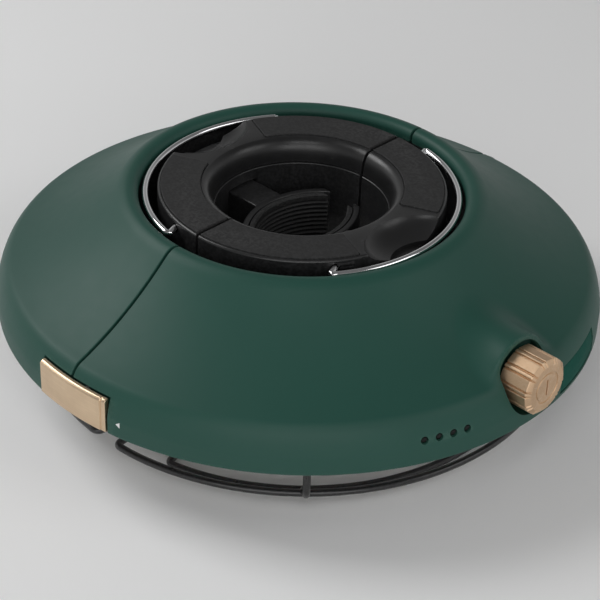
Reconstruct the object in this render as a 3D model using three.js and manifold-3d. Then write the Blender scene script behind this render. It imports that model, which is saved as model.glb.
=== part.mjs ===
// A clamp-round camping lantern. Two hinged halves close round a pole, sprung jaws grip it,
// two wire bails fold into a groove round the cap, and a wire guard carries the lamp off the ground.
// Millimetres, +Z up. The latch is at -Y, the hinge at +Y, and the seam lies in the plane X = 0.
import * as THREE from 'three';
import { mergeVertices } from 'three/addons/utils/BufferGeometryUtils.js';
import Module from 'manifold-3d';

const wasm = await Module();
wasm.setup();

// ---- driving dimensions ----
const SEGMENTS = 40; // facets round a full turn
const SEAM = 1.2; // width of the split between the halves
const CLEAR = 0.3; // gap between neighbouring pieces
const RIM_R = 125;
const RIM_BOTTOM = 31.5;
const WALL = 2.5;
const GROOVE_R = 66.5; // outer wall of the bail groove
const LIP_BOTTOM = 76.5; // the shell's lip ends here and the groove wall begins
const CAP_R = 58.8;
const CAP_TOP = 82.2;
const CAP_SKIRT = 64;
const PAD_TOP = 82.8;
const PAD_INNER = 41.3;
const PAD_OUTER = 57.5;
const PAD_EDGE = 23.5; // half angle of the scoop gap between two pads, degrees
const BORE_R = 35.4;
const SLEEVE_WALL = 2;
const BEZEL_BOTTOM = 29.3;
const BEZEL_TOP = 31.2;
const BOARD_BOTTOM = 35.5;
const BOARD_TOP = 37.1;
const TRAY_BOTTOM = 46;
const TRAY_TOP = 48.5;

const GUARD_WIRE = 1.5; // wire radius
const GUARD_LOW_R = 96;
const GUARD_HIGH_R = 107.2;
const GUARD_HIGH_Z = 8.95;
const GUARD_RIB_ANGLES = [-44, 44];
const GUARD_FOOT_R = 114;

const BAIL_WIRE = 1.4;
const BAIL_R = 63.66;
const BAIL_Z = 78.8;
const BAIL_MIDDLE = 21.6; // direction of the bail's middle, degrees
const BAIL_HALF = 57.8; // half of the arc it spans, degrees
const BAIL_STUB = 9.5; // length turned in along the pivot axis

const JAW_CENTRE = -15; // centre of the front jaw's arc along X
const JAW_R = 35;
const JAW_PLATE = 2.6;
const JAW_HALF = 48;
const JAW_BOTTOM = 41;
const JAW_TOP = 66.2;
const JAW_ARM_END = 42;
const JAW_ARM_BOTTOM = 50;
const JAW_ARM_HALF = 7.25;
const JAW_RIBS = 3;
const SPRING_Z = 58;
const SPRING_POST = 56.2;

const HINGE_Y = 120;
const HINGE_BARREL = 5.6;
const HINGE_PIN = 1.4;
const HINGE_NOTCH = 6.6;
const HINGE_BOTTOM = 32;
const HINGE_SPLIT = 39.5; // the front knuckle is below it, the rear one above
const HINGE_TOP = 47.2;
const LEAF_TOP = 41;

const LATCH_R = 125.6;
const LATCH_FLOOR = 121;
const LATCH_BOTTOM = 31.9;
const LATCH_TOP = 46.4;
const LATCH_BEVEL = 1.1;
const LATCH_REAR = -17;
const LATCH_FRONT = 20;
const LATCH_PIVOT = new THREE.Vector3(8, -121.5, 39.7);
const CATCH = new THREE.Vector3(-9, -119, 39.5);

const KNOB_TILT = 0.7; // degrees that the knob's axis rises
const KNOB_AT = new THREE.Vector3(117, 0, 48.75); // lengths along the axis are measured from here
const KNOB_R = 11.85;
const KNOB_FACE = 12.6;
const KNOB_BASE = -1.7;
const KNOB_BEVEL = 1.4;
const KNOB_LOBES = 10;
const BOSS_R = 15.7;
const BOSS_END = -1.5;
const RECESS_R = 13.2;
const RECESS_FLOOR = -5;

const PORT_FROM = 9; // degrees
const PORT_TO = 24;
const PORT_BOTTOM = 33.5;
const PORT_TOP = 43.5;
const PORT_FLOOR = 122.4;
const PORT_COVER_IN = 122.8;

const LEVEL_ANGLES = [-24.04, -21.27, -18.49, -15.7];
const LEVEL_Z = 41.8;
const LEVEL_R = 1.25;
const LEVEL_FACE = 124.1;

const SCREW_R = 115.5;
const SCREW_ANGLES = [-58, 34, 62];
const SCREW_SHANK = 1.45;
const POST_R = 3.5;

const CELL_R = 10.5;
const CELL_LENGTH = 69;
const CELL_AT = 81;
const CELL_Z = 49.6;

// ---- materials ----
const finish = (color, roughness, metalness) =>
  new THREE.MeshStandardMaterial({ color, roughness, metalness });
const GREEN = finish(0x2c4a40, 0.55, 0);
const BLACK = finish(0x1b1b1c, 0.45, 0);
const PAD_BLACK = finish(0x2e2e2f, 0.8, 0);
const RUBBER = finish(0x202122, 0.9, 0);
const GREEN_RUBBER = finish(0x24463a, 0.8, 0);
const WIRE_BLACK = finish(0x161616, 0.4, 0.3);
const CHROME = finish(0xd8d8da, 0.12, 1);
const BRASS = finish(0xb89870, 0.35, 1);
const STEEL = finish(0xa8a9ab, 0.35, 1);
const OPAL = finish(0xf2efe6, 0.5, 0);
const BOARD_WHITE = finish(0xe8e8e4, 0.6, 0);
const BOARD_GREEN = finish(0x1e5a38, 0.6, 0);
const CELL_BLUE = finish(0x35588c, 0.5, 0);
const SMOKED = finish(0x15201c, 0.2, 0);

// ---- solid helpers ----
const rad = THREE.MathUtils.degToRad;
const vec = (x, y, z) => new THREE.Vector3(x, y, z);
const polar = (radius, angle, z) => vec(radius * Math.cos(rad(angle)), radius * Math.sin(rad(angle)), z);

function solid(geometry) {
  const bare = geometry.clone();
  bare.deleteAttribute('normal');
  bare.deleteAttribute('uv');
  const merged = mergeVertices(bare, 1e-4);
  const vertProperties = Float32Array.from(merged.attributes.position.array);
  const triVerts = Uint32Array.from(merged.index.array);
  return new wasm.Manifold(new wasm.Mesh({ numProp: 3, vertProperties, triVerts }));
}

function geometryOf(manifold) {
  const raw = manifold.getMesh();
  const geometry = new THREE.BufferGeometry();
  geometry.setAttribute('position', new THREE.BufferAttribute(raw.vertProperties, 3));
  geometry.setIndex(new THREE.BufferAttribute(raw.triVerts, 1));
  geometry.computeVertexNormals();
  return geometry;
}

function turned(profile, curveSteps = 3, segments = SEGMENTS) {
  const geometry = new THREE.LatheGeometry(profile.getPoints(curveSteps), segments);
  geometry.rotateX(Math.PI / 2);
  return solid(geometry);
}

function ring(inner, outer, bottom, top) {
  const profile = new THREE.Path();
  profile.moveTo(inner, bottom);
  profile.lineTo(outer, bottom);
  profile.lineTo(outer, top);
  profile.lineTo(inner, top);
  profile.closePath();
  return turned(profile);
}

function box(x0, x1, y0, y1, z0, z1) {
  const geometry = new THREE.BoxGeometry(x1 - x0, y1 - y0, z1 - z0);
  geometry.translate((x0 + x1) / 2, (y0 + y1) / 2, (z0 + z1) / 2);
  return solid(geometry);
}

function sector(inner, outer, from, to, bottom, top, steps = 8) {
  const shape = new THREE.Shape();
  shape.absarc(0, 0, outer, rad(from), rad(to), false);
  shape.absarc(0, 0, inner, rad(to), rad(from), true);
  shape.closePath();
  const options = { depth: top - bottom, bevelEnabled: false, curveSegments: steps };
  const geometry = new THREE.ExtrudeGeometry(shape, options);
  geometry.translate(0, 0, bottom);
  return solid(geometry);
}

function rod(start, end, radius, sides = 12) {
  const along = end.clone().sub(start);
  const geometry = new THREE.CylinderGeometry(radius, radius, along.length(), sides);
  const turn = new THREE.Quaternion().setFromUnitVectors(vec(0, 1, 0), along.clone().normalize());
  geometry.applyQuaternion(turn);
  const middle = start.clone().add(end).multiplyScalar(0.5);
  geometry.translate(middle.x, middle.y, middle.z);
  return solid(geometry);
}

const post = (x, y, bottom, top, radius, sides = 12) => rod(vec(x, y, bottom), vec(x, y, top), radius, sides);

function ball(centre, radius) {
  const geometry = new THREE.SphereGeometry(radius, 6, 4);
  geometry.translate(centre.x, centre.y, centre.z);
  return solid(geometry);
}

// A wire of even-sided section, with a flat side facing down so that it can rest on the ground.
function wire(curve, radius, steps, sides = 6) {
  const section = new THREE.Shape();
  for (let i = 0; i < sides; i += 1) {
    const angle = ((i + 0.5) * 2 * Math.PI) / sides;
    const reach = radius / Math.cos(Math.PI / sides);
    const point = [reach * Math.cos(angle), reach * Math.sin(angle)];
    if (i === 0) section.moveTo(...point);
    else section.lineTo(...point);
  }
  section.closePath();
  return solid(new THREE.ExtrudeGeometry(section, { steps, extrudePath: curve, bevelEnabled: false }));
}

class ArcCurve extends THREE.Curve {
  constructor(radius, from, to, z) {
    super();
    Object.assign(this, { radius, from, to, z });
  }

  getPoint(t, target = new THREE.Vector3()) {
    return target.copy(polar(this.radius, this.from + (this.to - this.from) * t, this.z));
  }
}

class HelixCurve extends THREE.Curve {
  constructor(radius, turns, length) {
    super();
    Object.assign(this, { radius, turns, length });
  }

  getPoint(t, target = new THREE.Vector3()) {
    const angle = t * this.turns * 2 * Math.PI;
    return target.set(t * this.length, this.radius * Math.cos(angle), this.radius * Math.sin(angle));
  }
}

function coil(radius, wireRadius, turns, length) {
  const curve = new HelixCurve(radius, turns, length);
  return new THREE.ExtrudeGeometry(
    new THREE.Shape().absarc(0, 0, wireRadius, 0, 2 * Math.PI, false),
    { steps: turns * 7, extrudePath: curve, bevelEnabled: false, curveSegments: 3 },
  );
}

const FRONT_HALF = box(SEAM / 2, 200, -200, 200, -50, 150);
const REAR_HALF = box(-200, -SEAM / 2, -200, 200, -50, 150);
// Room for the knuckles: under the shoulder it is deep, above them it only opens the rim.
const HINGE_GAP = box(-HINGE_NOTCH, HINGE_NOTCH, 113.4, 140, 20, HINGE_TOP + 0.8)
  .add(box(-HINGE_NOTCH, HINGE_NOTCH, HINGE_Y - 0.6, 140, HINGE_TOP, 60));

// ---- the lantern ----
const lantern = new THREE.Group();

function add(name, shape, material) {
  const geometry = shape instanceof wasm.Manifold ? geometryOf(shape) : shape;
  const mesh = new THREE.Mesh(geometry, material);
  mesh.name = name;
  lantern.add(mesh);
  return mesh;
}

// The same piece on both halves: the rear one is the front one turned half a turn.
function addPair(name, shape, material) {
  add(`front_${name}`, shape, material);
  add(`rear_${name}`, shape, material).rotation.z = Math.PI;
}

function addHalves(name, full, material) {
  add(`front_${name}`, full.intersect(FRONT_HALF), material);
  add(`rear_${name}`, full.intersect(REAR_HALF), material);
}

// ---- shells ----
// The outer face, from the foot of the rim over the shoulder and the flared slope to the lip.
function outerFace(profile) {
  profile.lineTo(RIM_R, 39);
  profile.quadraticCurveTo(122.9, 49.7, 118.4, 51.5);
  profile.quadraticCurveTo(95.4, 60.7, 76, 78.8);
  profile.quadraticCurveTo(73.2, 81.6, 70.8, 81.9);
  profile.quadraticCurveTo(67, 82, GROOVE_R, 78.5);
}

function shellProfile() {
  const profile = new THREE.Path();
  profile.moveTo(RIM_R, RIM_BOTTOM);
  outerFace(profile);
  profile.lineTo(GROOVE_R, LIP_BOTTOM);
  profile.lineTo(GROOVE_R + WALL, LIP_BOTTOM);
  profile.lineTo(GROOVE_R + WALL, 77.6);
  profile.lineTo(72.8, 78);
  profile.quadraticCurveTo(93.9, 58.4, 117.4, 49);
  profile.lineTo(RIM_R - WALL, 42);
  profile.lineTo(RIM_R - WALL, RIM_BOTTOM);
  profile.closePath();
  return profile;
}

function envelope() {
  const profile = new THREE.Path();
  profile.moveTo(GROOVE_R, RIM_BOTTOM);
  profile.lineTo(RIM_R, RIM_BOTTOM);
  outerFace(profile);
  profile.closePath();
  return turned(profile);
}

const knobAxis = vec(Math.cos(rad(KNOB_TILT)), 0, Math.sin(rad(KNOB_TILT)));
const onKnobAxis = (s) => KNOB_AT.clone().addScaledVector(knobAxis, s);
const knobRod = (from, to, radius, sides = 20) => rod(onKnobAxis(from), onKnobAxis(to), radius, sides);
const portMiddle = (PORT_FROM + PORT_TO) / 2;

// A block seen along the radius at one angle, as for the charging socket.
function radialBox(angle, from, to, halfWidth, bottom, top) {
  const geometry = new THREE.BoxGeometry(to - from, halfWidth * 2, top - bottom);
  geometry.translate((from + to) / 2, 0, (bottom + top) / 2);
  geometry.rotateZ(rad(angle));
  return solid(geometry);
}

function knobBoss(skin) {
  const outside = knobRod(-34, BOSS_END, BOSS_R).add(knobRod(BOSS_END - 1, 9, BOSS_R).intersect(skin));
  const aboveBoard = box(78, 110.8, -20, 20, 20, 38.5);
  return outside.subtract(aboveBoard);
}

function screwPosts(angles) {
  const posts = angles.map((angle) => {
    const at = polar(SCREW_R, angle, 0);
    return post(at.x, at.y, 31.8, 50, POST_R, 8);
  });
  return posts.reduce((sum, next) => sum.add(next));
}

function screwHoles(angles, bottom, top) {
  const holes = angles.map((angle) => {
    const at = polar(SCREW_R, angle, 0);
    return post(at.x, at.y, bottom, top, SCREW_SHANK + CLEAR, 8);
  });
  return holes.reduce((sum, next) => sum.add(next));
}

const REAR_SCREW_ANGLES = SCREW_ANGLES.map((angle) => angle + 180);
const LATCH_FROM = -90 - 8.2;
const LATCH_TO = -90 + 9.5;

function addShells() {
  const skin = envelope();
  const walls = turned(shellProfile());
  const latchBlock = sector(116.5, RIM_R, LATCH_FROM - 1, LATCH_TO + 1, 31.8, 52, 3).intersect(skin);
  const latchRecess = sector(LATCH_FLOOR, 135, LATCH_FROM, LATCH_TO, 30, LATCH_TOP + 0.5, 3);
  const pinWell = box(4.8, 11.2, -130, -118.6, 35.3, 43.7);
  const pinHole = post(LATCH_PIVOT.x, LATCH_PIVOT.y, 32.9, 46.4, 1.2);
  const springWell = rod(vec(16, -117.6, 39.7), vec(16, -122, 39.7), 2.7);
  const full = walls.add(latchBlock).subtract(latchRecess).subtract(HINGE_GAP);

  const portBlock = sector(117, 124, PORT_FROM - 2, PORT_TO + 2, 31.8, 48, 3).intersect(skin);
  const portWell = sector(PORT_FLOOR, 135, PORT_FROM - 0.5, PORT_TO + 0.5, PORT_BOTTOM - 0.5, PORT_TOP + 0.5, 3);
  const socketHole = radialBox(portMiddle, 110, 124, 5, 36.4, 40.6);
  const levelHoles = LEVEL_ANGLES.map((angle) =>
    rod(polar(116, angle, LEVEL_Z), polar(130, angle, LEVEL_Z), LEVEL_R + CLEAR, 6));
  let front = full.add(knobBoss(skin)).add(portBlock).add(screwPosts(SCREW_ANGLES));
  front = front.subtract(knobRod(-40, RECESS_FLOOR - 2.5, BOSS_R - WALL, 20));
  front = front.subtract(knobRod(RECESS_FLOOR, 30, RECESS_R)).subtract(knobRod(-20, 0, 3.7, 12));
  front = front.subtract(portWell).subtract(socketHole).subtract(screwHoles(SCREW_ANGLES, 31, 43));
  front = front.subtract(pinWell).subtract(pinHole).subtract(springWell);
  levelHoles.forEach((hole) => { front = front.subtract(hole); });
  add('front_shell', front.intersect(FRONT_HALF), GREEN);

  const catchSlot = box(-15, 0, -122, -117.5, 36, 43);
  const catchHole = post(CATCH.x, CATCH.y, 34, 45, 1.3);
  let rear = full.add(screwPosts(REAR_SCREW_ANGLES));
  rear = rear.subtract(screwHoles(REAR_SCREW_ANGLES, 31, 43)).subtract(catchSlot).subtract(catchHole);
  add('rear_shell', rear.intersect(REAR_HALF), GREEN);

  const grooveWall = ring(GROOVE_R, GROOVE_R + WALL, TRAY_TOP + CLEAR, LIP_BOTTOM - CLEAR);
  addPair('groove_wall', grooveWall.intersect(FRONT_HALF), BLACK);
}

// ---- cap ----
function ellipsoid(grow) {
  const geometry = new THREE.SphereGeometry(1, 14, 10);
  geometry.scale(17.6 + grow, 22.6 + grow, 8.7 + grow);
  geometry.translate(60, 0, 84.5);
  return solid(geometry);
}

function capProfile() {
  const profile = new THREE.Path();
  profile.moveTo(CAP_R, CAP_SKIRT);
  profile.lineTo(CAP_R, CAP_TOP - 0.9);
  profile.lineTo(CAP_R - 0.8, CAP_TOP);
  profile.lineTo(PAD_INNER - 0.3, CAP_TOP);
  profile.quadraticCurveTo(36.2, 81.5, 36, 72.3);
  profile.lineTo(38.6, 72.3);
  profile.quadraticCurveTo(39, 79, 42.5, 79);
  profile.lineTo(CAP_R - 2.6, 79);
  profile.lineTo(CAP_R - 2.6, CAP_SKIRT);
  profile.closePath();
  return profile;
}

const padSectors = (inner, outer, bottom, top, edge) => [
  sector(inner, outer, -90, -edge, bottom, top),
  sector(inner, outer, edge, 90, bottom, top),
];

// The pivot axis of the front bail is a chord of the groove circle.
const bailDistance = BAIL_R * Math.cos(rad(BAIL_HALF));
const bailEnd = (sign) => polar(BAIL_R, BAIL_MIDDLE + sign * BAIL_HALF, BAIL_Z);
const bailAlong = bailEnd(1).sub(bailEnd(-1)).normalize();

function addCaps() {
  const block = ring(39, CAP_R, CAP_SKIRT, CAP_TOP - 0.5);
  let cap = turned(capProfile(), 3).add(ellipsoid(2.4).intersect(block)).subtract(ellipsoid(0));
  padSectors(PAD_INNER - 0.3, PAD_OUTER + 0.3, PAD_TOP - 1.5, 90, PAD_EDGE - 0.4).forEach((well) => {
    cap = cap.subtract(well);
  });
  const pivotHoles = [-1, 1].map((sign) => {
    const mouth = bailEnd(sign);
    return rod(mouth, mouth.clone().addScaledVector(bailAlong, -sign * 12), BAIL_WIRE + 0.35, 8);
  });
  pivotHoles.forEach((hole) => { cap = cap.subtract(hole); });
  addPair('cap', cap.intersect(FRONT_HALF), BLACK);
  padSectors(PAD_INNER, PAD_OUTER, PAD_TOP - 1.2, PAD_TOP, PAD_EDGE).forEach((pad, i) => {
    const inside = box(SEAM / 2 + CLEAR, 200, -200, 200, -50, 150);
    addPair(`cap_pad_${i + 1}`, pad.intersect(inside), PAD_BLACK);
  });
}

// ---- sleeve, tray, light board, diffuser and bezel ----
function addCore() {
  const sleeve = ring(BORE_R, BORE_R + SLEEVE_WALL, BEZEL_BOTTOM, 71.9)
    .add(ring(BORE_R + 0.5, 44.5, BEZEL_BOTTOM, BEZEL_TOP))
    .subtract(box(20, 50, -JAW_ARM_HALF - 0.8, JAW_ARM_HALF + 0.8, JAW_ARM_BOTTOM - 0.6, JAW_TOP + 0.8));
  addPair('sleeve', sleeve.intersect(FRONT_HALF), BLACK);

  const rail = JAW_ARM_HALF + 0.7;
  const tray = ring(39, GROOVE_R + WALL + 0.6, TRAY_BOTTOM, TRAY_TOP)
    .add(box(SPRING_POST, SPRING_POST + 2.2, -6, 6, TRAY_TOP - 1, CAP_SKIRT - 0.4))
    .add(box(42, 55.5, rail, rail + 1.6, TRAY_TOP - 1, 56))
    .add(box(42, 55.5, -rail - 1.6, -rail, TRAY_TOP - 1, 56));
  addPair('tray', tray.intersect(FRONT_HALF), BLACK);

  addPair('light_board', ring(40, 109.5, BOARD_BOTTOM, BOARD_TOP).intersect(FRONT_HALF), BOARD_WHITE);

  const lens = new THREE.Path();
  lens.moveTo(45.2, BEZEL_TOP + CLEAR);
  lens.lineTo(46, BEZEL_BOTTOM + 0.7);
  lens.quadraticCurveTo(75, 20, 102.5, BEZEL_BOTTOM + 0.7);
  lens.lineTo(103.5, BEZEL_TOP + CLEAR);
  lens.lineTo(109.8, BEZEL_TOP + CLEAR);
  lens.lineTo(109.8, 33);
  lens.lineTo(103, 33);
  lens.quadraticCurveTo(75, 22.5, 46.5, 33);
  lens.lineTo(41.5, 33);
  lens.lineTo(41.5, BEZEL_TOP + CLEAR);
  lens.closePath();
  addPair('diffuser', turned(lens, 3).intersect(FRONT_HALF), OPAL);

  const bezel = ring(104.2, 122.4, BEZEL_BOTTOM, BEZEL_TOP).subtract(HINGE_GAP)
    .subtract(screwHoles([...SCREW_ANGLES, ...REAR_SCREW_ANGLES], 28, 33));
  addHalves('bezel', bezel, BLACK);
}

function addScrews() {
  SCREW_ANGLES.forEach((angle, i) => {
    const at = polar(SCREW_R, angle, 0);
    const shank = post(at.x, at.y, 28.4, 41.5, SCREW_SHANK, 8);
    const head = post(at.x, at.y, 27.5, BEZEL_BOTTOM - CLEAR, 2.8, 12);
    const socket = post(at.x, at.y, 27, 28.3, 1.1, 6);
    addPair(`screw_${i + 1}`, head.add(shank).subtract(socket), STEEL);
  });
}

// ---- wire guard ----
// Each ring of wire stops short of the seam and turns in towards the middle.
function guardRing(radius, z, end) {
  let shape = wire(new ArcCurve(radius, -end, end, z), GUARD_WIRE, 16);
  [-end, end].forEach((angle) => {
    const corner = polar(radius + GUARD_WIRE * 0.6, angle, z);
    const tip = polar(radius - 6.5, angle, z);
    shape = shape.add(rod(corner, tip, GUARD_WIRE, 6));
  });
  return shape;
}

function guardRib(angle) {
  const low = polar(GUARD_LOW_R, angle, GUARD_WIRE);
  const high = polar(GUARD_HIGH_R, angle, GUARD_HIGH_Z);
  const foot = polar(GUARD_FOOT_R, angle, BEZEL_BOTTOM - 1);
  const bend = polar(GUARD_FOOT_R, angle, 15);
  const curve = new THREE.CatmullRomCurve3([low, high, bend, foot]);
  return wire(curve, GUARD_WIRE, 4).add(post(foot.x, foot.y, BEZEL_BOTTOM - 1.5, BEZEL_BOTTOM - CLEAR, 3, 8));
}

function addGuards() {
  let guard = guardRing(GUARD_HIGH_R, GUARD_HIGH_Z, 87).add(guardRing(GUARD_LOW_R, GUARD_WIRE, 77.5));
  GUARD_RIB_ANGLES.forEach((angle) => { guard = guard.add(guardRib(angle)); });
  const aboveGround = box(-200, 200, -200, 200, 0, 60);
  addPair('guard', guard.intersect(aboveGround), WIRE_BLACK);
}

// ---- bails ----
function addBails() {
  const arc = new ArcCurve(BAIL_R, BAIL_MIDDLE - BAIL_HALF, BAIL_MIDDLE + BAIL_HALF, BAIL_Z);
  let bail = wire(arc, BAIL_WIRE, 16);
  [-1, 1].forEach((sign) => {
    const elbow = bailEnd(sign);
    const tip = elbow.clone().addScaledVector(bailAlong, -sign * BAIL_STUB);
    bail = bail.add(rod(elbow, tip, BAIL_WIRE, 8)).add(ball(elbow, BAIL_WIRE * 1.03));
  });
  addPair('bail', bail, CHROME);
}

// ---- jaws ----
function jawSector(inner, outer, half, bottom, top) {
  return sector(inner, outer, -half, half, bottom, top, 7);
}

function addJaws() {
  const plate = geometryOf(jawSector(JAW_R - JAW_PLATE, JAW_R, JAW_HALF, JAW_BOTTOM, JAW_TOP));
  plate.translate(JAW_CENTRE, 0, 0);
  const arm = box(JAW_CENTRE + JAW_R - 1, JAW_ARM_END, -JAW_ARM_HALF, JAW_ARM_HALF, JAW_ARM_BOTTOM, JAW_TOP)
    .subtract(rod(vec(25, 0, SPRING_Z), vec(50, 0, SPRING_Z), 4.8));
  addPair('jaw', solid(plate).add(arm), BLACK);

  const face = JAW_R - JAW_PLATE - CLEAR;
  let pad = jawSector(face - 1.5, face, JAW_HALF - 2, JAW_BOTTOM + 1, JAW_TOP - 0.7);
  const pitch = (JAW_TOP - JAW_BOTTOM - 3) / JAW_RIBS;
  for (let i = 0; i < JAW_RIBS; i += 1) {
    const bottom = JAW_BOTTOM + 2 + i * pitch;
    pad = pad.add(jawSector(face - 2.7, face - 1.4, JAW_HALF - 2, bottom, bottom + pitch * 0.5));
  }
  const padGeometry = geometryOf(pad);
  padGeometry.translate(JAW_CENTRE, 0, 0);
  addPair('jaw_pad', padGeometry, RUBBER);

  const spring = coil(3.6, 0.55, 5, SPRING_POST - 25 - 2);
  spring.translate(26, 0, SPRING_Z);
  addPair('jaw_spring', spring, STEEL);
}

// ---- hinge ----
function knuckle(bottom, top) {
  return post(0, HINGE_Y, bottom, top, HINGE_BARREL, 16);
}

// A leaf's plate lies inside the rim, where the shell's inner face leaves it room.
function leafPlate(from, to, bottom, top) {
  return box(from, to, HINGE_Y - 2.6, HINGE_Y + 0.2, bottom, top);
}

function addHinge() {
  const bore = post(0, HINGE_Y, 20, 60, HINGE_PIN + CLEAR);
  const low = HINGE_SPLIT - CLEAR / 2;
  const high = HINGE_SPLIT + CLEAR / 2;
  const front = knuckle(HINGE_BOTTOM, low).add(leafPlate(3, 16, HINGE_BOTTOM, low));
  add('front_hinge_leaf', front.subtract(bore), STEEL);
  const rear = knuckle(high, HINGE_TOP).add(leafPlate(-16, -3, high, LEAF_TOP))
    .add(leafPlate(-16, -7.2, HINGE_BOTTOM, LEAF_TOP));
  add('rear_hinge_leaf', rear.subtract(bore), STEEL);
  add('hinge_pin', post(0, HINGE_Y, HINGE_BOTTOM - 0.2, HINGE_TOP + 0.4, HINGE_PIN), STEEL);
}

// ---- latch ----
function addLatch() {
  const to = -90 + THREE.MathUtils.radToDeg(LATCH_FRONT / RIM_R);
  const from = -90 + THREE.MathUtils.radToDeg(LATCH_REAR / RIM_R);
  const profile = new THREE.Path();
  profile.moveTo(LATCH_R - 2.4, LATCH_BOTTOM);
  profile.lineTo(LATCH_R, LATCH_BOTTOM);
  profile.lineTo(LATCH_R, LATCH_TOP - LATCH_BEVEL);
  profile.lineTo(LATCH_R - LATCH_BEVEL, LATCH_TOP);
  profile.lineTo(LATCH_R - 2.4, LATCH_TOP);
  profile.closePath();
  const plate = turned(profile, 1, 120).intersect(sector(115, 135, from, to, 30, 50, 2));
  const knuckle = post(LATCH_PIVOT.x, LATCH_PIVOT.y, 36, 43, 2.3)
    .add(box(LATCH_PIVOT.x - 1.6, LATCH_PIVOT.x + 1.6, -123.6, LATCH_PIVOT.y, 36, 43));
  const nose = box(-13.5, -11.5, -123.6, -120.9, 37, 42);
  const bore = post(LATCH_PIVOT.x, LATCH_PIVOT.y, 30, 50, 1.2);
  const edgeBevel = box(18.6, 24, -135, -124.9, 30, 50);
  add('latch_plate', plate.add(knuckle).subtract(bore).add(nose).subtract(edgeBevel), BRASS);
  add('latch_pin', post(LATCH_PIVOT.x, LATCH_PIVOT.y, 33.1, 46.2, 0.9), STEEL);
  add('catch_pin', post(CATCH.x, CATCH.y, 34.2, 44.8, 1), STEEL);
  const spring = coil(1.8, 0.3, 3, 3.2);
  spring.rotateZ(-Math.PI / 2);
  spring.translate(16, -118.2, 39.7);
  add('latch_spring', spring, STEEL);
}

// ---- dimmer knob ----
function knobOutline() {
  const shape = new THREE.Shape();
  const step = (2 * Math.PI) / KNOB_LOBES;
  for (let i = 0; i < KNOB_LOBES; i += 1) {
    const points = [[KNOB_R - 0.9, 0], [KNOB_R, 0.18], [KNOB_R, 0.82]];
    points.forEach(([radius, part], j) => {
      const angle = (i + part) * step;
      const point = [radius * Math.cos(angle), radius * Math.sin(angle)];
      if (i === 0 && j === 0) shape.moveTo(...point);
      else shape.lineTo(...point);
    });
  }
  shape.closePath();
  return shape;
}

function addKnob() {
  const length = KNOB_FACE - KNOB_BASE;
  const fluted = new THREE.ExtrudeGeometry(knobOutline(), { depth: length, bevelEnabled: false });
  const bevel = new THREE.CylinderGeometry(KNOB_R - 1.75, KNOB_R + 0.1, KNOB_BEVEL, 24);
  bevel.rotateX(Math.PI / 2);
  bevel.translate(0, 0, length - KNOB_BEVEL / 2);
  const cone = solid(bevel).add(box(-20, 20, -20, 20, -1, length - KNOB_BEVEL + 0.1));
  const bore = post(0, 0, -1, 9.5, 3.3);
  const knob = geometryOf(solid(fluted).intersect(cone).subtract(bore));
  const alongAxis = (geometry) => {
    geometry.rotateY(Math.PI / 2 - rad(KNOB_TILT));
    geometry.translate(...onKnobAxis(KNOB_BASE).toArray());
    return geometry;
  };
  add('knob', alongAxis(knob), BRASS);
  add('knob_spindle', knobRod(-14, KNOB_BASE + 9.1, 3, 12), STEEL);
  const behind = RECESS_FLOOR - KNOB_BASE;
  const housing = box(-6.5, 6.5, -6.5, 6.5, behind - 10.9, behind - 3).subtract(post(0, 0, behind - 12, 0, 3.3));
  add('dimmer_switch', alongAxis(geometryOf(housing)), BLACK);
}

// ---- port, level windows and electronics ----
function addElectronics() {
  const skin = envelope();
  const cover = sector(PORT_COVER_IN, RIM_R, PORT_FROM, PORT_TO, PORT_BOTTOM, PORT_TOP).intersect(skin);
  add('port_cover', cover, GREEN_RUBBER);
  const socket = radialBox(portMiddle, 112, 121.6, 4.5, 36.9, 40.1)
    .subtract(radialBox(portMiddle, 115, 123, 4, 37.4, 39.6));
  add('charge_socket', socket, STEEL);
  LEVEL_ANGLES.forEach((angle, i) => {
    const inner = polar(119.5, angle, LEVEL_Z);
    const outer = polar(LEVEL_FACE, angle, LEVEL_Z);
    add(`level_window_${i + 1}`, rod(inner, outer, LEVEL_R, 6), SMOKED);
  });
  add('control_board', sector(72, 106, -70, -16, 40, 41.6), BOARD_GREEN);
}

function addBatteries() {
  const outline = new THREE.Path();
  outline.moveTo(0, 0);
  outline.lineTo(CELL_R, 0);
  outline.lineTo(CELL_R, CELL_LENGTH - 1);
  outline.lineTo(3, CELL_LENGTH - 1);
  outline.lineTo(3, CELL_LENGTH);
  outline.lineTo(0, CELL_LENGTH);
  [135, 225].forEach((angle, i) => {
    const cell = new THREE.LatheGeometry(outline.getPoints(), 16);
    cell.translate(0, -CELL_LENGTH / 2, 0);
    const mesh = add(`battery_cell_${i + 1}`, geometryOf(solid(cell)), CELL_BLUE);
    mesh.rotation.z = rad(angle);
    mesh.position.copy(polar(CELL_AT, angle, CELL_Z));
  });
  const cradle = sector(71, 95, 108, 252, BOARD_TOP + 0.4, CELL_Z - CELL_R - 0.4, 14)
    .add(sector(74, 90, 178, 182, BOARD_TOP + 1, 54));
  add('battery_cradle', cradle, BLACK);
}

addShells();
addCaps();
addCore();
addScrews();
addGuards();
addBails();
addJaws();
addHinge();
addLatch();
addKnob();
addElectronics();
addBatteries();

// The origin is the middle of the footprint, so the knob's overhang shifts the bore's axis a little.
lantern.updateMatrixWorld(true);
const reach = new THREE.Box3().setFromObject(lantern.getObjectByName('knob'), true).max.x;
lantern.children.forEach((mesh) => { mesh.position.x -= (reach - RIM_R) / 2; });

export default lantern;
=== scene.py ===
"""A clamp-round camping lantern in Blender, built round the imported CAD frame.

Shapes are made in millimetres in the lantern's own frame, with the bore's axis at x = y = 0,
the latch at -Y and the hinge at +Y, and are moved to the row frame, in metres, as they are placed.
"""

from math import acos, ceil, cos, hypot, pi, radians, sin, sqrt, tan

import bmesh
import bpy
from mathutils import Matrix, Vector


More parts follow.
